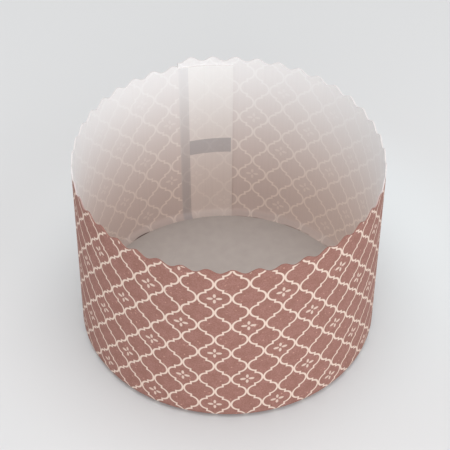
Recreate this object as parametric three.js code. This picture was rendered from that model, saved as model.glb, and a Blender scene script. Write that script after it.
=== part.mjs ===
// A round paper baking mold: one strip of printed paper rolled into a ring and lapped at the
// back, its foot folded inward as a narrow flange, and a flat round paper disc on that flange.
import * as THREE from "three";

// Sizes, in millimetres and degrees. The floor is at height 0 and up is +Z.
// Angles run from the front (-Y) round by the right (+X) to the back (180) and the left (270).

// The wall as a whole
const height = 89.8;          // floor to the tips of the scallops
const footRadius = 65;        // outside of the wall, carried straight down to the floor
const rimSpread = 1.95;       // the wall opens by this much from the floor to the rim
const rimOval = 1.66;         // the soft rim is longer front to back by this, narrower sideways
const paper = 0.5;            // one thickness of the stiff paper

// The fold at the foot and the flange under the disc
const foldRadius = 3.6;       // outside radius of the bend
const flangeWidth = 9;        // flat part of the flange, measured inward
const creases = 48;           // gathers pressed into the flange where it is folded in
const creaseDepth = 0.2;
const creaseWidth = 0.9;

// The scalloped rim. The row of scallops is broken where the strip laps.
const scallopPitch = 8.396;   // degrees from one tip to the next
const firstTip = 5.2;         // degrees from the outer free end to the first tip
const scallopDepth = 2.2;

// The lap at the back, where the two ends of the strip overlap
const lapStart = 199.9;       // angle of the free end that lies outside
const lapWidth = 24.2;        // how far the inner end reaches past it
const cutWidth = 0.15;        // half the width over which a cut edge steps by one thickness
const jogAngle = 12;          // the inner end moves in by one thickness over this angle
const flapTopLeft = 2.9;      // the plain cut top of the inner end lies this far below the tips
const flapTopRight = 4.3;     // the same at its other side
const ledgeTop = 4.6;         // the same line, carried round the rest of the wall
const ledgeFall = 4;          // angle over which it gets there
const ledgeSlope = 0.25;      // fall of a cut edge over one thickness of paper
const flapClear = 0.4;        // the inner end stops this far above the bend

// The two ends of the strip were glued a little askew
const seamRise = 1.5;         // the outer end stands this much too high
const seamRiseAngle = 20;
const seamDrop = 1.2;         // the inner end lies this much too low
const seamDropAngle = 38;

// The disc
const discClear = 0.1;        // from the disc's edge to where the flange starts to bend up
const discThickness = 0.5;

// How finely the round shapes are divided
const scallopSteps = 8;
const wallSteps = 86;
const foldSteps = 3;
const discSteps = 96;

const radians = Math.PI / 180;
const cutAngle = cutWidth / footRadius / radians;
const lapAngle = lapWidth / footRadius / radians;
// The strip is followed from its inner end at the back, by the left, the front and the right,
// to its outer end at the back again.
const stripStart = lapStart - 360 + cutAngle;
const stripEnd = lapStart - cutAngle;
const flapEdge = lapStart - lapAngle;

const smooth = (t) => { const u = Math.min(1, Math.max(0, t)); return u * u * (3 - 2 * u); };
const fromInnerEnd = (a) => a - stripStart;
const fromOuterEnd = (a) => stripEnd - a;

function rimHeight(a) {
  const wave = 0.5 - 0.5 * Math.cos(2 * Math.PI * (fromOuterEnd(a) - firstTip) / scallopPitch);
  const rise = seamRise * smooth(1 - fromOuterEnd(a) / seamRiseAngle);
  const drop = seamDrop * smooth(1 - fromInnerEnd(a) / seamDropAngle);
  return height - scallopDepth * wave + rise - drop;
}

// Outside radius of the wall at an angle and a height
function outerRadius(a, z) {
  const share = z / height;
  const oval = rimOval * share * Math.cos(2 * a * radians);
  const jog = paper * smooth(1 - fromInnerEnd(a) / jogAngle);
  return footRadius + rimSpread * share + oval - jog;
}

const inLap = (a) => a > flapEdge;

function ledgeHeight(a) {
  if (inLap(a)) {
    const across = fromOuterEnd(a) / lapAngle;
    return height - flapTopLeft - (flapTopRight - flapTopLeft) * across;
  }
  const fall = Math.min(1, fromInnerEnd(a) / ledgeFall);
  return height - flapTopLeft - (ledgeTop - flapTopLeft) * fall;
}

const spot = (a, r, z) => [r * Math.sin(a * radians), -r * Math.cos(a * radians), z];

// Lists of angles at which a row of points is set
function evenAngles(count) {
  const step = (stripEnd - stripStart) / count;
  return Array.from({ length: count + 1 }, (_, k) => stripStart + k * step);
}
const ordered = (list) => [...new Set(list)].sort((p, q) => p - q);

const rimAngles = evenAngles(Math.round(360 / scallopPitch) * scallopSteps);
const wallAngles = ordered([
  ...evenAngles(wallSteps).filter((a) => Math.abs(a - flapEdge) > 4 * cutAngle),
  flapEdge - cutAngle, flapEdge + cutAngle,
]);
const creaseAngle = creaseWidth / 2 / footRadius / radians;
const creaseCentres = Array.from({ length: creases },
  (_, k) => stripStart + (k + 0.5) * (stripEnd - stripStart) / creases);
const creaseAngles = ordered([
  stripStart, stripEnd,
  ...creaseCentres.flatMap((a) => [a - creaseAngle, a, a + creaseAngle]),
]);
const onCrease = (a) => creaseCentres.includes(a);

// Points and triangles of the wall
const points = [];
const triangles = [];

function row(angles, place) {
  const first = points.length / 3;
  angles.forEach((a) => points.push(...place(a)));
  return { angles, first };
}

// Fills the band between two rows that both run once round the ring
function band(upper, lower) {
  const up = upper.angles;
  const low = lower.angles;
  const upAt = (k) => upper.first + (k % up.length);
  const lowAt = (k) => lower.first + (k % low.length);
  const turned = (list, k) => list[k % list.length] + (k >= list.length ? 360 : 0);
  let i = 0;
  let j = 0;
  while (i < up.length || j < low.length) {
    const stepUp = j >= low.length
      || (i < up.length && turned(up, i + 1) <= turned(low, j + 1));
    if (stepUp) {
      triangles.push(upAt(i), lowAt(j), upAt(i + 1));
      i += 1;
    } else {
      triangles.push(upAt(i), lowAt(j), lowAt(j + 1));
      j += 1;
    }
  }
}

const innerRadius = (a, z) => outerRadius(a, z) - paper;
const flapRadius = (a, z) => innerRadius(a, z) - (inLap(a) ? paper : 0);
const bendCentre = (a) => outerRadius(a, foldRadius) - foldRadius;
const foldAngles = Array.from({ length: foldSteps },
  (_, k) => (k + 1) * Math.PI / 2 / foldSteps);
const flangeEnd = (a) => bendCentre(a) - flangeWidth;

const innerRows = [
  row(rimAngles, (a) => spot(a, innerRadius(a, rimHeight(a)), rimHeight(a))),
  row(wallAngles, (a) => spot(a, innerRadius(a, ledgeHeight(a)), ledgeHeight(a))),
  row(wallAngles, (a) => {
    const z = ledgeHeight(a) - ledgeSlope;
    return spot(a, flapRadius(a, z), z);
  }),
  row(wallAngles, (a) => {
    const z = foldRadius + flapClear + ledgeSlope;
    return spot(a, flapRadius(a, z), z);
  }),
  row(wallAngles, (a) => spot(a, innerRadius(a, foldRadius), foldRadius)),
  ...foldAngles.map((turn) => row(wallAngles, (a) => spot(
    a,
    bendCentre(a) + (foldRadius - paper) * Math.cos(turn),
    foldRadius - (foldRadius - paper) * Math.sin(turn),
  ))),
  row(wallAngles, (a) => spot(a, flangeEnd(a), paper)),
];
const lastFold = foldAngles.length - 1;
const outerRows = [
  row(rimAngles, (a) => spot(a, outerRadius(a, rimHeight(a)), rimHeight(a))),
  row(wallAngles, (a) => spot(a, outerRadius(a, foldRadius), foldRadius)),
  ...foldAngles.slice(0, lastFold).map((turn) => row(wallAngles, (a) => spot(
    a, bendCentre(a) + foldRadius * Math.cos(turn), foldRadius * (1 - Math.sin(turn)),
  ))),
  row(creaseAngles, (a) => spot(a, bendCentre(a), onCrease(a) ? creaseDepth : 0)),
  row(creaseAngles, (a) => spot(a, flangeEnd(a), onCrease(a) ? creaseDepth : 0)),
];

// Down the outside, then up the inside, then over the rim
const around = [...outerRows, ...innerRows.toReversed()];
around.forEach((upper, k) => band(upper, around[(k + 1) % around.length]));

const wallShape = new THREE.BufferGeometry();
wallShape.setAttribute("position", new THREE.Float32BufferAttribute(points, 3));
wallShape.setIndex(triangles);
wallShape.computeVertexNormals();

const wall = new THREE.Mesh(wallShape, new THREE.MeshStandardMaterial({
  color: 0x9c6a5e, roughness: 0.85, metalness: 0,
}));
wall.name = "side_wall";

// The disc lies flat on the flange
const discRadius = bendCentre(stripStart) - discClear;
const discProfile = [
  new THREE.Vector2(0, paper),
  new THREE.Vector2(discRadius, paper),
  new THREE.Vector2(discRadius, paper + discThickness),
  new THREE.Vector2(0, paper + discThickness),
];
const discShape = new THREE.LatheGeometry(discProfile, discSteps);
discShape.rotateX(Math.PI / 2);
const disc = new THREE.Mesh(discShape, new THREE.MeshStandardMaterial({
  color: 0xb9aea8, roughness: 0.9, metalness: 0,
}));
disc.name = "base_disc";

const mold = new THREE.Group();
mold.name = "paper_baking_mold";
mold.add(wall, disc);

export default mold;
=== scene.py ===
# %% [markdown]
# # A paper baking mold
# A baking mold of this kind is one strip of stiff printed paper, rolled into a ring, and a flat
# paper disc. The frame is the solid model in model.glb. This lesson dresses it: each solid gets a
# finer piece of the same size, and each face its paper.

from math import cos, pi, radians, sin

import bmesh
import bpy
from mathutils import Matrix


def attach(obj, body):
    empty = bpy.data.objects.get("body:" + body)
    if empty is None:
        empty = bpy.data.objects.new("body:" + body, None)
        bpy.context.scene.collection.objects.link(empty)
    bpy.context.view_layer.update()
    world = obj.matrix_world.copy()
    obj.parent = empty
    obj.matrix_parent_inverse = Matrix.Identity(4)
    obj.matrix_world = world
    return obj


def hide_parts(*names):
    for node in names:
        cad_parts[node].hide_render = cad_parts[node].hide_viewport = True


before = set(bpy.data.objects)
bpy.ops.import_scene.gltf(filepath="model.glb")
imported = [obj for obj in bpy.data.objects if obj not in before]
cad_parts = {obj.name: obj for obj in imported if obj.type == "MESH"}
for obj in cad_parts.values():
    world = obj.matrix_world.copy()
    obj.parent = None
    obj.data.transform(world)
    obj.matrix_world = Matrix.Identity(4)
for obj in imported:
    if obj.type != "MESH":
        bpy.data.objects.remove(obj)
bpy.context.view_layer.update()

# %% [markdown]
# ## The camera
# A photograph of a small object from close by shows it a little wider at the near rim than at
# the far one. The place, tilt and focal length here come from a fit to points of the print, the
# rim and the foot, so the camera is made first and the pieces are judged through it.

# %% Camera
MM = 0.001
CAMERA_PLACE = (0, -503.9 * MM, 512.7 * MM)
LOOK_DOWN = 0.742
LOOK_LEFT = 0.0028
LEAN = 0.0067
PICTURE = 450
FOCAL_PIXELS = 1586.7
SENSOR = 36

bpy.ops.object.select_all(action="DESELECT")
bpy.ops.object.camera_add()
camera = bpy.context.object
camera.name = "viewer"
camera.matrix_world = (
    Matrix.Translation(CAMERA_PLACE)
    @ Matrix.Rotation(LOOK_LEFT, 4, "Z")
    @ Matrix.Rotation(pi / 2 - LOOK_DOWN, 4, "X")
    @ Matrix.Rotation(LEAN, 4, "Z")
)
camera.data.sensor_width = SENSOR
camera.data.lens = FOCAL_PIXELS * SENSOR / PICTURE
bpy.context.scene.camera = camera
print("lens", round(camera.data.lens, 1), "mm")

# %% [markdown]
# ## Sizes of the strip
# All sizes are those of the solid. Angles start at the front and run by the right to the back.
# The strip is longer than once round: its inner end slips behind the outer one, and that is the
# lap. The inner end's top is cut straight, and both ends were glued a little askew, so that the
# row of scallops steps at the lap.

# %% Sizes
FOOT_RADIUS = 65 * MM
HEIGHT = 89.8 * MM
RIM_SPREAD = 1.95 * MM
RIM_OVAL = 1.66 * MM
PAPER = 0.5 * MM
FOLD = 3.6 * MM
FLANGE = 9 * MM

OUTER_END = 199.9
LAP_ANGLE = 21.33
SEAM = OUTER_END - 360
INNER_END = SEAM - LAP_ANGLE
STRIP_ANGLE = OUTER_END - INNER_END

SCALLOP_PITCH = 8.396
FIRST_TIP = 5.2
SCALLOP_DEPTH = 2.2 * MM
SEAM_RISE = 1.5 * MM
RISE_ANGLE = 20
SEAM_DROP = 1.2 * MM
DROP_ANGLE = 38
FLAP_DROP = 2.9 * MM
FLAP_SLOPE = 1.4 * MM


def arc(angle):
    """Length along the paper, from the front, at the outside of the foot."""
    return radians(angle) * FOOT_RADIUS


def angle_at(x):
    """The angle at a length along the paper."""
    return x / arc(1)


def ease(share):
    """0 below 0, 1 above 1, and a smooth way between."""
    share = min(1, max(0, share))
    return share * share * (3 - 2 * share)


def rim_height(angle):
    """Where the upper edge of the strip is cut, above the floor."""
    if angle < SEAM:
        across = (SEAM - angle) / LAP_ANGLE
        return HEIGHT - FLAP_DROP - FLAP_SLOPE * across
    to_end = OUTER_END - angle
    wave = 0.5 - 0.5 * cos(2 * pi * (to_end - FIRST_TIP) / SCALLOP_PITCH)
    rise = SEAM_RISE * ease(1 - to_end / RISE_ANGLE)
    drop = SEAM_DROP * ease(1 - (angle - SEAM) / DROP_ANGLE)
    return HEIGHT - SCALLOP_DEPTH * wave + rise - drop


print("strip", round((arc(OUTER_END) - arc(INNER_END)) / MM, 1), "mm long")

# %% [markdown]
# ## Working by hand, in code
# Blender's operators act on what is selected. These helpers select one object, or the points of
# a mesh that lie in a place, so that every step starts from a clean selection. Two more paint a
# vertex group by place, and add a modifier and apply it.


# %% Selecting
def only(obj):
    """One object is selected and active, and nothing else."""
    if bpy.context.object and bpy.context.object.mode != "OBJECT":
        bpy.ops.object.mode_set(mode="OBJECT")
    bpy.ops.object.select_all(action="DESELECT")
    obj.select_set(True)
    bpy.context.view_layer.objects.active = obj


def pick(test):
    """Selects the points of the mesh in edit mode whose place passes the test."""
    bpy.ops.mesh.select_mode(type="VERT")
    bpy.ops.mesh.select_all(action="DESELECT")
    mesh = bmesh.from_edit_mesh(bpy.context.object.data)
    for point in mesh.verts:
        point.select_set(test(point.co))
    mesh.select_flush(True)
    bmesh.update_edit_mesh(bpy.context.object.data)


def paint(obj, name, weight):
    """A vertex group with the weight that the function gives for each place."""
    group = obj.vertex_groups.new(name=name)
    for point in obj.data.vertices:
        value = weight(point.co)
        if value > 0:
            group.add([point.index], value, "REPLACE")
    return name


def finish(obj, kind, **settings):
    """Adds a modifier with these settings and applies it."""
    only(obj)
    modifier = obj.modifiers.new(kind.lower(), kind)
    for key, value in settings.items():
        setattr(modifier, key, value)
    bpy.ops.object.modifier_apply(modifier=modifier.name)


print("helpers:", [helper.__name__ for helper in (only, pick, paint, finish)])

# %% [markdown]
# ## The blank
# A ring with a lap could be modelled round from the start, but paper is easier to think of flat:
# the blank is a long band that stands upright. Its lower edge is drawn down row by row, then
# round the bend of the foot and inward as the flange. Each row of points runs the whole length
# of the strip.

# %% The flat blank
COLUMNS = 454
TOP = HEIGHT + SEAM_RISE
FIRST_ROW = 83.5 * MM
WALL_ROWS = 9
BEND_ROWS = 6
FLANGE_ROWS = 3
HAIR = 0.1 * MM

bpy.ops.object.select_all(action="DESELECT")
bpy.ops.mesh.primitive_grid_add(x_subdivisions=COLUMNS, y_subdivisions=1, size=1)
wall = bpy.context.object
wall.name = "rolled_wall"
wall.scale = (arc(OUTER_END) - arc(INNER_END), TOP - FIRST_ROW, 1)
wall.rotation_euler.x = pi / 2
wall.location = ((arc(OUTER_END) + arc(INNER_END)) / 2, 0, (TOP + FIRST_ROW) / 2)
bpy.ops.object.transform_apply(location=True, rotation=True, scale=True)

# Each row: (inward, height, length along the paper above the foot line)
profile = [(0, FIRST_ROW, FIRST_ROW)]
for k in range(1, WALL_ROWS + 1):
    z = FIRST_ROW + (FOLD - FIRST_ROW) * k / WALL_ROWS
    profile.append((0, z, z))
for k in range(1, BEND_ROWS + 1):
    turn = pi / 2 * k / BEND_ROWS
    profile.append((FOLD * (1 - cos(turn)), FOLD * (1 - sin(turn)), FOLD - FOLD * turn))
for k in range(1, FLANGE_ROWS + 1):
    reach = FLANGE * k / FLANGE_ROWS
    profile.append((FOLD + reach, 0, FOLD - FOLD * pi / 2 - reach))

bpy.ops.object.mode_set(mode="EDIT")
pick(lambda place: place.z < FIRST_ROW + HAIR)
for (y0, z0, _), (y1, z1, _) in zip(profile, profile[1:]):
    bpy.ops.mesh.extrude_edges_move(TRANSFORM_OT_translate={"value": (0, y1 - y0, z1 - z0)})
bpy.ops.object.mode_set(mode="OBJECT")
print("blank", len(wall.data.vertices), "points in", len(profile) + 1, "rows")

# %% [markdown]
# ## Cutting the scallops
# The die cuts the upper edge. Here the straight edge is lowered to the cut: each of its points
# gets a weight for how far the cut lies below the tallest tip, and one displacement moves them
# all.

# %% Scallops
cuts = [rim_height(INNER_END + k * STRIP_ANGLE / COLUMNS) for k in range(COLUMNS + 1)]
CUT_REACH = TOP - min(cuts)


def cut_weight(place):
    """How far a point of the top row goes down, as a share of the deepest cut."""
    if place.z < TOP - HAIR:
        return 0
    return (TOP - rim_height(angle_at(place.x))) / CUT_REACH


finish(
    wall,
    "DISPLACE",
    vertex_group=paint(wall, "cut", cut_weight),
    direction="Z",
    mid_level=0,
    strength=-CUT_REACH,
)
print("deepest cut", round(CUT_REACH / MM, 2), "mm below the tallest tip")

# %% [markdown]
# ## The print's own coordinates
# The print is laid on the flat blank, so the map is made now, before rolling: its two numbers
# are metres along the strip and metres up the paper, and they stay with the paper when it bends.
# The print sags a little at three places, and at the front only towards the rim.

# %% Map of the flat blank
# Each sag: (its middle as an angle, its reach to each side, its depth, whether it fades downward)
SAGS = (
    (-13, 22, 0.9 * MM, True),
    (180, 75, 0.5 * MM, False),
    (-140, 50, 0.6 * MM, False),
)


def print_sag(angle, height):
    """How far the print lies below its place at this spot of the sheet."""
    total = 0
    for middle, reach, depth, fades in SAGS:
        away = abs((angle - middle + 180) % 360 - 180)
        share = max(0, height) / HEIGHT if fades else 1
        total += depth * ease(1 - away / reach) * share
    return total


flat = wall.data.uv_layers.active
flat.name = "blank"
for loop in wall.data.loops:
    place = wall.data.vertices[loop.vertex_index].co
    height_up = place.z
    if place.z < FOLD - HAIR:
        nearest = min(profile, key=lambda row: abs(row[0] - place.y) + abs(row[1] - place.z))
        height_up = nearest[2]
    height_up += print_sag(angle_at(place.x), place.z)
    flat.data[loop.index].uv = (place.x, height_up)
print("map from", [round(x / MM) for x in flat.data[0].uv], "mm")

# %% [markdown]
# ## Gathers and the tucked end
# Turned inward, the foot has to shrink, so it is pressed into small overlapping gathers: here
# the flange rises a little across each one and drops back at the next. The inner end is set in
# by a little more than one paper, so that the outer end can lie over it.

# %% Gathers and tuck
GATHERS = 48
GATHER = 0.3 * MM
GATHER_START = 0.6 * FOLD
STEEPNESS = 12
TUCK = 0.52 * MM
JOG_ANGLE = 12


def gather_weight(place):
    """Up along each gather of the flange, and steeply down to the next."""
    inward = (place.y - GATHER_START) / GATHER_START
    if place.z > FOLD / 2 or inward <= 0:
        return 0
    share = (angle_at(place.x) - SEAM) * GATHERS / 360 % 1
    return min(1, inward) * share * min(1, (1 - share) * STEEPNESS)


def tuck_weight(place):
    """1 on the inner end, and 0 where the strip is single."""
    return ease(1 - (angle_at(place.x) - SEAM) / JOG_ANGLE)


finish(
    wall,
    "DISPLACE",
    vertex_group=paint(wall, "gathers", gather_weight),
    direction="Z",
    mid_level=0,
    strength=GATHER,
)
finish(
    wall,
    "DISPLACE",
    vertex_group=paint(wall, "tuck", tuck_weight),
    direction="Y",
    mid_level=0,
    strength=TUCK,
)
print("gathers", GATHERS, "tuck", TUCK / MM, "mm")

# %% [markdown]
# ## Rolling the strip
# A bend of more than a full turn rolls the strip and lets its ends overlap. The foot stays round
# on its disc, but the free rim spreads a little and is squeezed into a slight oval. The spread
# is done with a box-shaped lattice of eight points, and then the front and back are pushed out,
# each point straight along its own normal, so that the print isn't dragged sideways.

# %% Roll and spread
finish(wall, "SIMPLE_DEFORM", deform_method="BEND", deform_axis="Z", angle=radians(STRIP_ANGLE))
only(wall)
bpy.ops.transform.translate(value=(0, -FOOT_RADIUS, 0))
bpy.ops.object.transform_apply(location=True, rotation=False, scale=False)

CAGE = 160 * MM
CAGE_GROWTH = 1 + (RIM_SPREAD - RIM_OVAL) * TOP / HEIGHT / FOOT_RADIUS
bpy.ops.object.select_all(action="DESELECT")
bpy.ops.object.add(type="LATTICE", location=(0, 0, TOP / 2))
cage = bpy.context.object
cage.scale = (CAGE, CAGE, TOP)
for side in "uvw":
    setattr(cage.data, f"interpolation_type_{side}", "KEY_LINEAR")
for point in cage.data.points:
    if point.co_deform.z > 0:
        for k in (0, 1):
            point.co_deform[k] *= CAGE_GROWTH
finish(wall, "LATTICE", object=cage)
bpy.data.objects.remove(cage)


def oval_weight(place):
    """1 at the front and back of the rim, and 0 at its sides and at the foot."""
    return (place.y / place.xy.length) ** 2 * place.z / TOP


finish(
    wall,
    "DISPLACE",
    vertex_group=paint(wall, "oval", oval_weight),
    direction="NORMAL",
    mid_level=0,
    strength=2 * RIM_OVAL * TOP / HEIGHT,
)
reach = [max(abs(p.co[k]) for p in wall.data.vertices) / MM for k in range(3)]
print("rolled to", [round(r, 2) for r in reach], "mm from the middle and the floor")

# %% [markdown]
# ## Thickness
# The sheet so far has no thickness. Solidify adds it on the inside and gives the new inner faces
# and the cut edges their own material places, which is how one sheet of paper gets three looks.

# %% Three papers on one sheet
SMOOTH_ANGLE = radians(35)

for name in ("printed_side", "plain_inside_with_painted_light", "cut_edge"):
    wall.data.materials.append(bpy.data.materials.new(name))
finish(
    wall,
    "SOLIDIFY",
    thickness=PAPER,
    offset=-1,
    use_even_offset=True,
    material_offset=1,
    material_offset_rim=2,
)
only(wall)
bpy.ops.object.shade_smooth_by_angle(angle=SMOOTH_ANGLE)
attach(wall, "root")
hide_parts("side_wall")
print("wall", len(wall.data.polygons), "faces")

# %% [markdown]
# ## The disc
# The disc is punched from the same plain paper and laid on the flange. It is a circle drawn in a
# few rings, given its thickness, and its punched edge is softened. It never lies quite flat: at the
# back left it stands up a little. The dark gap under its edge is partly its own shade and partly a
# painted shadow on the wall's foot.

# %% The base disc
DISC_RADIUS = 60.97 * MM
DISC_STEPS = 180
DISC_RINGS = (2, 4, 6, 8, 10, 14)
PUNCHED_EDGE = 0.12 * MM
SHARP_ANGLE = radians(60)
DISC_LIFT = 0.7 * MM
LIFT_TOWARDS = (-0.86, 0.51)
LIFT_START = 0.72

bpy.ops.object.select_all(action="DESELECT")
bpy.ops.mesh.primitive_circle_add(
    vertices=DISC_STEPS, radius=DISC_RADIUS, fill_type="NGON", location=(0, 0, PAPER)
)
disc = bpy.context.object
disc.name = "floor_disc"
bpy.ops.object.transform_apply(location=True, rotation=False, scale=False)
bpy.ops.object.mode_set(mode="EDIT")
bpy.ops.mesh.select_all(action="SELECT")
for ring in DISC_RINGS:
    bpy.ops.mesh.inset(thickness=ring * MM, depth=0)
bpy.ops.object.mode_set(mode="OBJECT")
finish(disc, "SOLIDIFY", thickness=PAPER, offset=1)
finish(
    disc,
    "BEVEL",
    width=PUNCHED_EDGE,
    segments=2,
    limit_method="ANGLE",
    angle_limit=SHARP_ANGLE,
)


def lift_weight(place):
    """1 at the back left of the disc's edge, and 0 a short way round and inward."""
    out = place.xy.length / DISC_RADIUS
    towards = cos(place.xy.angle_signed(LIFT_TOWARDS)) if out > 0 else 0
    return ease((out - LIFT_START) / (1 - LIFT_START)) * ease(
        (towards - LIFT_START) / (1 - LIFT_START)
    )


finish(
    disc,
    "DISPLACE",
    vertex_group=paint(disc, "lift", lift_weight),
    direction="Z",
    mid_level=0,
    strength=DISC_LIFT,
)
only(disc)
bpy.ops.object.shade_smooth_by_angle(angle=SMOOTH_ANGLE)
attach(disc, "root")
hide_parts("base_disc")
print("disc", len(disc.data.polygons), "faces")

# %% [markdown]
# ## Shader maths as sums
# A procedural print is mostly arithmetic on the map's two numbers. A small class wraps a socket,
# so that a sum written in Python adds the Math nodes that work it out.


# %% Wires
class Wire:
    """A socket that can stand in a sum. Each sign adds one Math node."""

    def __init__(self, tree, socket):
        self.tree = tree
        self.socket = socket

    def maths(self, operation, *terms):
        node = self.tree.nodes.new("ShaderNodeMath")
        node.operation = operation
        for slot, term in zip(node.inputs, terms):
            plug(self.tree, slot, term)
        return Wire(self.tree, node.outputs[0])

    def __add__(self, other):
        return self.maths("ADD", self, other)

    def __sub__(self, other):
        return self.maths("SUBTRACT", self, other)

    def __rsub__(self, other):
        return self.maths("SUBTRACT", other, self)

    def __mul__(self, other):
        return self.maths("MULTIPLY", self, other)

    def __truediv__(self, other):
        return self.maths("DIVIDE", self, other)

    def __gt__(self, other):
        return self.maths("GREATER_THAN", self, other)

    def __lt__(self, other):
        return self.maths("LESS_THAN", self, other)

    def __abs__(self):
        return self.maths("ABSOLUTE", self)

    __radd__ = __add__
    __rmul__ = __mul__

    def nearest(self):
        """The nearest whole number."""
        return self.maths("ROUND", self)

    def most(self, other):
        return self.maths("MAXIMUM", self, other)

    def least(self, other):
        return self.maths("MINIMUM", self, other)

    def with_side(self, other):
        """The long side of a right triangle over these two short ones."""
        return self.maths("SQRT", self * self + other * other)


def plug(tree, slot, term):
    """A number, a colour or a wire goes into a socket."""
    if isinstance(term, Wire):
        tree.links.new(term.socket, slot)
    elif isinstance(term, bpy.types.NodeSocket):
        tree.links.new(term, slot)
    else:
        slot.default_value = term


print("sums by name:", [name for name in vars(Wire) if not name.startswith("__")])

# %% [markdown]
# ## Finishes
# Every paper here is the same kind of shader with other colours and another relief. One class
# holds such a material and makes any node for it. Colours are written as a screen names them,
# because they are easier to judge in that way, and then turned into light.

# %% Finishes
SOFT_GLOSS = 0.3


class Finish:
    """A material with one paper-like shader, and one way to add any node to it."""

    def __init__(self, material, roughness):
        self.material = material
        material.use_nodes = True
        self.tree = material.node_tree
        self.shader = self.tree.nodes["Principled BSDF"]
        self.shader.inputs["Roughness"].default_value = roughness
        self.shader.inputs["Specular IOR Level"].default_value = SOFT_GLOSS

    def node(self, kind, settings=None, inputs=None):
        """Any node: its kind, its settings, and what goes into its sockets."""
        made = self.tree.nodes.new("ShaderNode" + kind)
        for key, value in (settings or {}).items():
            setattr(made, key, value)
        for key, value in (inputs or {}).items():
            plug(self.tree, made.inputs[key], value)
        return made

    def value(self, kind, output, settings=None, inputs=None):
        """The same, with one of its outputs as a wire."""
        return Wire(self.tree, self.node(kind, settings, inputs).outputs[output])

    def blend(self, share, first, second):
        """A colour between two, by a share from 0 to 1."""
        made = self.node("Mix", {"data_type": "RGBA"}, {0: share, 6: first, 7: second})
        return made.outputs[2]

    def rise(self, value, low, high):
        """0 below low, 1 above high, and a smooth way between."""
        return self.value(
            "MapRange",
            0,
            {"interpolation_type": "SMOOTHSTEP"},
            {"Value": value, "From Min": low, "From Max": high},
        )

    def noise(self, place, scale, detail=2):
        """Soft clouds, 0 to 1, about this many in a metre."""
        return self.value("TexNoise", 0, None, {"Vector": place, "Scale": scale, "Detail": detail})

    def streaks(self, along, scale):
        """The same, but only along one length."""
        settings = {"noise_dimensions": "1D"}
        return self.value("TexNoise", 0, settings, {"W": along, "Scale": scale})

    def relief(self, height, distance):
        """A bump that feeds the shader's normal."""
        made = self.node("Bump", None, {"Height": height, "Distance": distance, "Strength": 1})
        plug(self.tree, self.shader.inputs["Normal"], made.outputs[0])

    def colour(self, socket):
        """What the shader shows."""
        plug(self.tree, self.shader.inputs["Base Color"], socket)

    def blank_map(self):
        """The two numbers of the flat blank's map, in metres, and the map itself."""
        mapped = self.node("UVMap", {"uv_map": "blank"}).outputs[0]
        split = self.node("SeparateXYZ", None, {0: mapped})
        return Wire(self.tree, split.outputs[0]), Wire(self.tree, split.outputs[1]), mapped


def paint_level(red, green, blue):
    """A colour as a screen names it, 0 to 255, turned into light."""

    def light(level):
        share = level / 255
        return share / 12.92 if share <= 0.04045 else ((share + 0.055) / 1.055) ** 2.4

    return light(red), light(green), light(blue), 1


print("a middle grey as light", round(paint_level(128, 128, 128)[0], 3))

# %% [markdown]
# ## The trellis
# The print is an old lattice of wide four-lobed cells. One quarter of a cell holds one piece of
# line: an arc, a short upright step, and the same arc turned round by half a turn. So the whole
# print is folded into that quarter, and only the distance to one arc and one step has to be
# worked out. Every fourth cell holds a small flower of four petals.

# %% Trellis
CELL_WIDE = 13.208 * MM
CELL_HIGH = 16.354 * MM
NODE_ALONG = -4.966 * MM
NODE_UP = 82.43 * MM
LINE_HALF = 0.4 * MM
# An arc of the line, in halves of a cell: its middle, its near end, and how tall it is
LOBE = 0.54
LOBE_START = 0.05
LOBE_TALL = 0.42
# A petal: (its middle from the flower's own, half its length, half its width)
SIDE_PETAL = (1.75 * MM, 1.25 * MM, 0.68 * MM)
UPRIGHT_PETAL = (1.6 * MM, 1.12 * MM, 0.6 * MM)


def trellis(paper, along, up, soft):
    """1 on the lines of the lattice and 0 in its cells."""
    half_wide = CELL_WIDE / 2
    half_high = CELL_HIGH / 2
    p = (along - NODE_ALONG) / CELL_WIDE
    q = (NODE_UP - up) / CELL_HIGH
    p = abs(p - p.nearest())
    q = abs(q - q.nearest())
    far = p > 0.25
    x = (p + far * (0.5 - 2 * p)) * CELL_WIDE
    y = (q + far * (0.5 - 2 * q)) * CELL_HIGH
    across = (LOBE - LOBE_START) * half_wide
    tall = LOBE_TALL * half_high
    dx = x - LOBE * half_wide
    ring = (dx / across).with_side(y / tall)
    slope = (dx / across**2).with_side(y / tall**2)
    to_arc = abs(ring - 1) * ring / slope
    to_step = (half_wide / 2 - x).most(abs(y - half_high / 2) - (0.5 - LOBE_TALL) * half_high)
    nearest = to_arc.least(to_step)
    return 1 - paper.rise(nearest, LINE_HALF - soft, LINE_HALF + soft)


def petal(out, aside, size):
    """How far from a petal's middle, where 1 is its edge."""
    middle, length, width = size
    return ((out - middle) / length).with_side(aside / width)


def rosettes(paper, along, up):
    """1 on a small four-petal flower in every fourth cell."""
    found = None
    for shift in (0, 1):
        p = (along - NODE_ALONG) / CELL_WIDE - shift
        q = (NODE_UP - up) / CELL_HIGH - 0.5 - shift
        x = abs(p - 2 * (p / 2).nearest()) * CELL_WIDE
        y = abs(q - 2 * (q / 2).nearest()) * CELL_HIGH
        petals = 1 - paper.rise(petal(x, y, SIDE_PETAL).least(petal(y, x, UPRIGHT_PETAL)), 0.8, 1.1)
        found = petals if found is None else found.most(petals)
    return found


print("cell", CELL_WIDE / MM, "by", CELL_HIGH / MM, "mm")

# %% [markdown]
# ## Outside: the printed side
# Matt ink on uncoated paper: the ground is a muted red-brown with soft blotches, a fine dark
# grain and tiny pale flecks where the ink missed a fibre, and the lines are cream. The paper is
# very finely ribbed from top to bottom, which shows only as a faint upright grain.

# %% Printed side
RIB = 1.1 * MM
# How many to a metre
FIBRES = 2400
BLOTCHES = 260
GRAIN = 1500
FLECKS = 470


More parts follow.
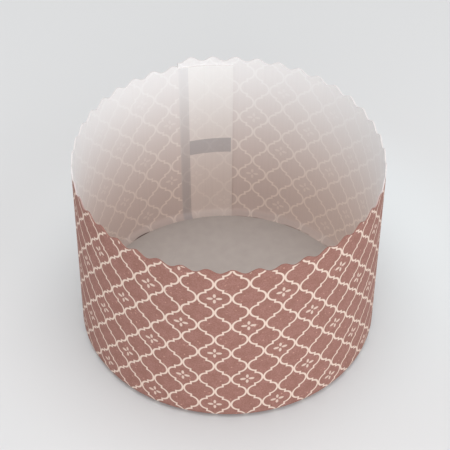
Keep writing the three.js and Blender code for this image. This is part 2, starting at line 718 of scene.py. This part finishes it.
def ribs(paper, along):
    """Light and dark upright ribs, 0 to 1, that never repeat quite evenly."""
    return paper.streaks(along, 1 / RIB)


def paper_relief(paper, along, mapped, rib, fibre):
    """Ribs and fibres as a height for the bump."""
    return ribs(paper, along) * rib + paper.noise(mapped, FIBRES) * fibre


LINE_SOFT = 0.1 * MM
FLOWER_INK = 0.85
GRAIN_STRENGTH = 0.5
FLECK_STRENGTH = 0.6
BARE_CELLS = 0.45
RELIEF = 0.04 * MM
GROUND_DARK = paint_level(156, 113, 102)
GROUND_LIGHT = paint_level(166, 122, 112)
GRAIN_TONE = paint_level(138, 92, 82)
FLECK_TONE = paint_level(228, 178, 164)
CREAM = paint_level(230, 208, 194)

outside = Finish(bpy.data.materials["printed_side"], roughness=0.8)
along, up, mapped = outside.blank_map()
lines = trellis(outside, along, up, LINE_SOFT)
lines = lines.most(rosettes(outside, along, up) * FLOWER_INK)
blotches = outside.rise(outside.noise(mapped, BLOTCHES, detail=5), 0.35, 0.65)
ground = outside.blend(blotches, GROUND_DARK, GROUND_LIGHT)
grain = outside.rise(outside.noise(mapped, GRAIN, detail=3), 0.4, 0.62)
ground = outside.blend(grain * GRAIN_STRENGTH, ground, GRAIN_TONE)

# Each fleck is the middle of one small cell, and a share of the cells stays bare
cells = outside.node("TexVoronoi", {"feature": "F1"}, {"Vector": mapped, "Scale": FLECKS})
chance = outside.value("SeparateColor", 0, None, {0: cells.outputs["Color"]})
fleck = (chance > BARE_CELLS) * (1 - outside.rise(cells.outputs["Distance"], 0.07, 0.24))
ground = outside.blend(fleck * chance * FLECK_STRENGTH, ground, FLECK_TONE)

outside.colour(outside.blend(lines, ground, CREAM))
outside.relief(paper_relief(outside, along, mapped, rib=0.3, fibre=0.7), RELIEF)
print("printed side:", len(outside.tree.nodes), "nodes")

# %% [markdown]
# ## Inside: white paper with the print shining through
# The inside is unprinted, but the paper is thin enough for the print to shine through. It shows
# softly. Painted light makes the inside lighter towards the rim, and painted shade makes it darker
# and warmer low down. With it the shine is painted faint at the rim and stronger low down. At the
# lap the inner end has a plain margin, where a second paper lies behind the first and only a trace
# of the print comes through.

# %% Print shining through
MARGIN = arc(INNER_END + 17.5)
SEAM_SOFT = 0.6 * MM
SHINE_SOFT = 0.28 * MM
SHINE_FLOWER = 0.6
WALL_LOW = 12 * MM
WALL_HIGH = 90 * MM
# Strengths low on the wall, how much painted light washes out up to the rim, and what the lap hides
SHINE = 0.31
SHINE_LOSS_TO_LIGHT = 0.25
MARGIN_HIDES = 0.7
BAND_HIDES = 0.6
# Where the shine is weaker: (the middle of the place, where it begins and ends to gain
# strength to each side, all as angles, and its share of the full strength there)
WEAK_LINES = (-100, 20, 75, 0.6)
WEAK_GROUND = (115, 15, 55, 0.72)
# Paper colours: darker and warmer low on the wall in painted shade, lighter at the rim in painted
# light
PAPER_SHADED_LOW = paint_level(248, 232, 221)
PAPER_LIT_HIGH = paint_level(253, 254, 255)
MARGIN_SHADED_LOW = paint_level(240, 226, 217)
MARGIN_LIT_HIGH = paint_level(254, 255, 255)
SHINE_TONE = paint_level(130, 92, 102)



def strength_round(paper, along, weak):
    """1 round the wall, and less at one place."""
    middle, start, end, share = weak
    return share + (1 - share) * paper.rise(abs(along - arc(middle)), arc(start), arc(end))


inside = Finish(bpy.data.materials["plain_inside_with_painted_light"], roughness=0.85)
along, up, mapped = inside.blank_map()
doubled = 1 - inside.rise(along, arc(SEAM) - SEAM_SOFT, arc(SEAM) + SEAM_SOFT)
margin = along < MARGIN
# Painted light up the wall: 0 low down and 1 at the rim. It lightens the paper and fades the shine,
# ribs and band
high = inside.rise(up, WALL_LOW, WALL_HIGH)

# On the inner end the lines are those of the outer end, which lies one turn further on
seen_along = along + (along < arc(SEAM)) * arc(360)
lines = trellis(inside, seen_along, up, SHINE_SOFT)
lines = lines.most(rosettes(inside, seen_along, up) * SHINE_FLOWER)
lines = lines * strength_round(inside, along, WEAK_LINES)

band = doubled * (1 - margin)
# The shine fades up the wall with the painted light
ink = (1 - lines) * (SHINE - high * SHINE_LOSS_TO_LIGHT) * strength_round(inside, along, WEAK_GROUND)
ink = ink * (1 - margin * MARGIN_HIDES) * (1 - band * BAND_HIDES)
# The paper in painted shade low down and in painted light at the rim, single and at the margin
single = inside.blend(high, PAPER_SHADED_LOW, PAPER_LIT_HIGH)
double = inside.blend(high, MARGIN_SHADED_LOW, MARGIN_LIT_HIGH)
tone = inside.blend(ink, inside.blend(margin, single, double), SHINE_TONE)
print("print shining through:", len(inside.tree.nodes), "nodes")

# %% [markdown]
# ## Inside: ribs, lap and foot
# The ribs of the paper show as faint grey streaks, and the fold at the foot is darker with painted
# shade. Between the two papers of the lap lie a cross bar and an upright band of bluish grey, and
# the bar stops a hair before the free end. At the back left, where the disc stands up, a dark
# painted shadow marks the gap under its edge, and elsewhere a broken line of painted shadow.

# %% Ribs, lap and foot
RIB_STRENGTH = 0.14
RIB_LOSS_TO_LIGHT = 0.08
FOOT_SHADE_STRENGTH = 0.34
FOOT_SHADE_HIGH = 4.6 * MM
BAR_STRENGTH = 0.37
BAR_LOW = 37.8 * MM
BAR_HIGH = 45.9 * MM
BARE_EDGE = 0.75 * MM
BAND_STRENGTH = 0.36
BAND_LOSS_TO_LIGHT = 0.27
GAP_SHADOW_STRENGTH = 0.9
GAP_MIDDLE = 221 - 360
GAP_LOW = -1.6 * MM
GAP_HIGH = -0.9 * MM
GAP_RISE = 1.1 * MM
BREAKS = 80
BROKEN_SHADOW_STRENGTH = 0.45
INSIDE_RELIEF = 0.05 * MM
RIB_TONE = paint_level(176, 166, 162)
FOOT_SHADE_TONE = paint_level(70, 58, 54)
BLUE_GREY = paint_level(84, 96, 116)
GAP_SHADOW_TONE = paint_level(64, 44, 38)

# The rib streaks fade up the wall with the painted light
rib = ribs(inside, along) * (RIB_STRENGTH - high * RIB_LOSS_TO_LIGHT)
tone = inside.blend(rib, tone, RIB_TONE)
# Painted shade in the fold at the foot, darker towards the floor
foot = 1 - inside.rise(up, 0, FOOT_SHADE_HIGH)
tone = inside.blend(foot * FOOT_SHADE_STRENGTH, tone, FOOT_SHADE_TONE)

bar = margin * (up > BAR_LOW) * (up < BAR_HIGH) * (along > arc(INNER_END) + BARE_EDGE)
tone = inside.blend(bar * BAR_STRENGTH, tone, BLUE_GREY)
# The band fades up the wall with the painted light
tone = inside.blend(band * (BAND_STRENGTH - high * BAND_LOSS_TO_LIGHT), tone, BLUE_GREY)

# Painted shadow under the disc's edge: deep where the disc stands up at the back left, a broken
# line elsewhere
lifted = 1 - inside.rise(abs(along - arc(GAP_MIDDLE)), arc(1.5), arc(8))
broken_shadow = inside.rise(inside.streaks(along, BREAKS), 0.42, 0.58)
painted_gap_shadow = 1 - inside.rise(up - lifted * GAP_RISE, GAP_LOW, GAP_HIGH)
painted_gap_shadow = painted_gap_shadow * (broken_shadow * BROKEN_SHADOW_STRENGTH).most(lifted * GAP_SHADOW_STRENGTH)
tone = inside.blend(painted_gap_shadow, tone, GAP_SHADOW_TONE)

inside.colour(tone)
inside.relief(paper_relief(inside, along, mapped, rib=0.5, fibre=0.5), INSIDE_RELIEF)
print("plain inside:", len(inside.tree.nodes), "nodes")

# %% [markdown]
# ## The cut edge
# A cut through printed paper shows its pale core, but round the near half of the rim it looks
# nearly as brown as the print. So the edge goes from brown at the front to pale at the back, and
# a little noise keeps the change from being a straight line.

# %% Cut edge
CHANGE_START = -35 * MM
CHANGE_END = -5 * MM
CHANGE_NOISE = 10 * MM
EDGE_CLOUDS = 300
INKED_EDGE = paint_level(144, 102, 92)
PALE_EDGE = paint_level(210, 205, 204)

edge = Finish(bpy.data.materials["cut_edge"], roughness=0.9)
place = edge.node("TexCoord").outputs["Object"]
back = edge.value("SeparateXYZ", 1, None, {0: place})
back = back + edge.noise(place, EDGE_CLOUDS) * CHANGE_NOISE
edge.colour(edge.blend(edge.rise(back, CHANGE_START, CHANGE_END), INKED_EDGE, PALE_EDGE))
print("cut edge:", len(edge.tree.nodes), "nodes")

# %% [markdown]
# ## The disc's paper
# The disc is the same plain paper, painted a little greyer and warmer because it lies low in the
# mold: painted shade, and warmth from painted bounce light off the wall. Soft clouds of fibre keep
# it from looking like plastic.

# %% Disc paper
CLOUDS = 220
DISC_FIBRES = 1800
DISC_RELIEF = 0.05 * MM
# Both cloud colours are the white paper in painted shade, warmed by painted bounce light
SHADED_CLOUD_DARK = paint_level(162, 154, 149)
SHADED_CLOUD_LIGHT = paint_level(176, 168, 163)

plain = Finish(bpy.data.materials.new("disc_paper_shaded"), roughness=0.85)
disc.data.materials.append(plain.material)
place = plain.node("TexCoord").outputs["Object"]
clouds = plain.noise(place, CLOUDS, detail=6)
plain.colour(plain.blend(clouds, SHADED_CLOUD_DARK, SHADED_CLOUD_LIGHT))
plain.relief(plain.noise(place, DISC_FIBRES) + 0.5 * clouds, DISC_RELIEF)
print("disc paper:", len(plain.tree.nodes), "nodes")

# %% [markdown]
# ## The table
# The mold stands on a plain pale table. Close to the mold its colour is painted a touch brighter
# and cooler than further off: painted light that makes up for the shade that the mold throws round
# itself.

# %% Table
TABLE_SIZE = 6
NEAR_MIDDLE = (15 * MM, 30 * MM, 0)
NEAR_END = 60 * MM
FAR_START = 130 * MM
# Painted light near the mold, brighter and cooler, against the shade it throws on the table
TABLE_NEAR_PAINTED_LIGHT = paint_level(220, 225, 227)
TABLE_FAR = paint_level(210, 211, 212)

bpy.ops.object.select_all(action="DESELECT")
bpy.ops.mesh.primitive_plane_add(size=TABLE_SIZE)
table = bpy.context.object
table.name = "table"
top = Finish(bpy.data.materials.new("pale_table_painted_light"), roughness=0.7)
table.data.materials.append(top.material)
place = top.node("TexCoord").outputs["Object"]
away = top.node("VectorMath", {"operation": "DISTANCE"}, {0: place, 1: NEAR_MIDDLE})
far = top.rise(away.outputs["Value"], NEAR_END, FAR_START)
top.colour(top.blend(far, TABLE_NEAR_PAINTED_LIGHT, TABLE_FAR))
print("table", TABLE_SIZE, "m wide")

# %% [markdown]
# ## The light
# Soft daylight comes from all round, most of it from above and from the front. The world gives
# the even part, and five large soft lamps the rest. Together they light a level surface so that
# a colour shows about as it is written, and each wall as bright as it has to be.

# %% Light
SKY = 0.47
LAMP_SIZE = 0.9
# Each lamp: (its place in metres, its power in watts)
LAMPS = {
    "overhead": ((0, 0, 1.3), 9.4),
    "front_right": ((0.8, -0.8, 0.6), 2.6),
    "right": ((1, -0.1, 0.5), 1.6),
    "front": ((0, -1.15, 0.4), 5.4),
    "left": ((-0.8, 0, 0.9), 1.5),
}

world = bpy.data.worlds.new("daylight")
bpy.context.scene.world = world
world.use_nodes = True
sky = world.node_tree.nodes["Background"]
sky.inputs["Color"].default_value = (1, 1, 1, 1)
sky.inputs["Strength"].default_value = SKY

for name, (place, power) in LAMPS.items():
    bpy.ops.object.select_all(action="DESELECT")
    bpy.ops.object.light_add(type="AREA", location=place)
    lamp = bpy.context.object
    lamp.name = name
    lamp.data.size = LAMP_SIZE
    lamp.data.energy = power
    lamp.rotation_euler = lamp.location.to_track_quat("Z", "Y").to_euler()

bpy.context.scene.view_settings.view_transform = "Standard"
print("lamps", list(LAMPS))

# %% [markdown] ## The end
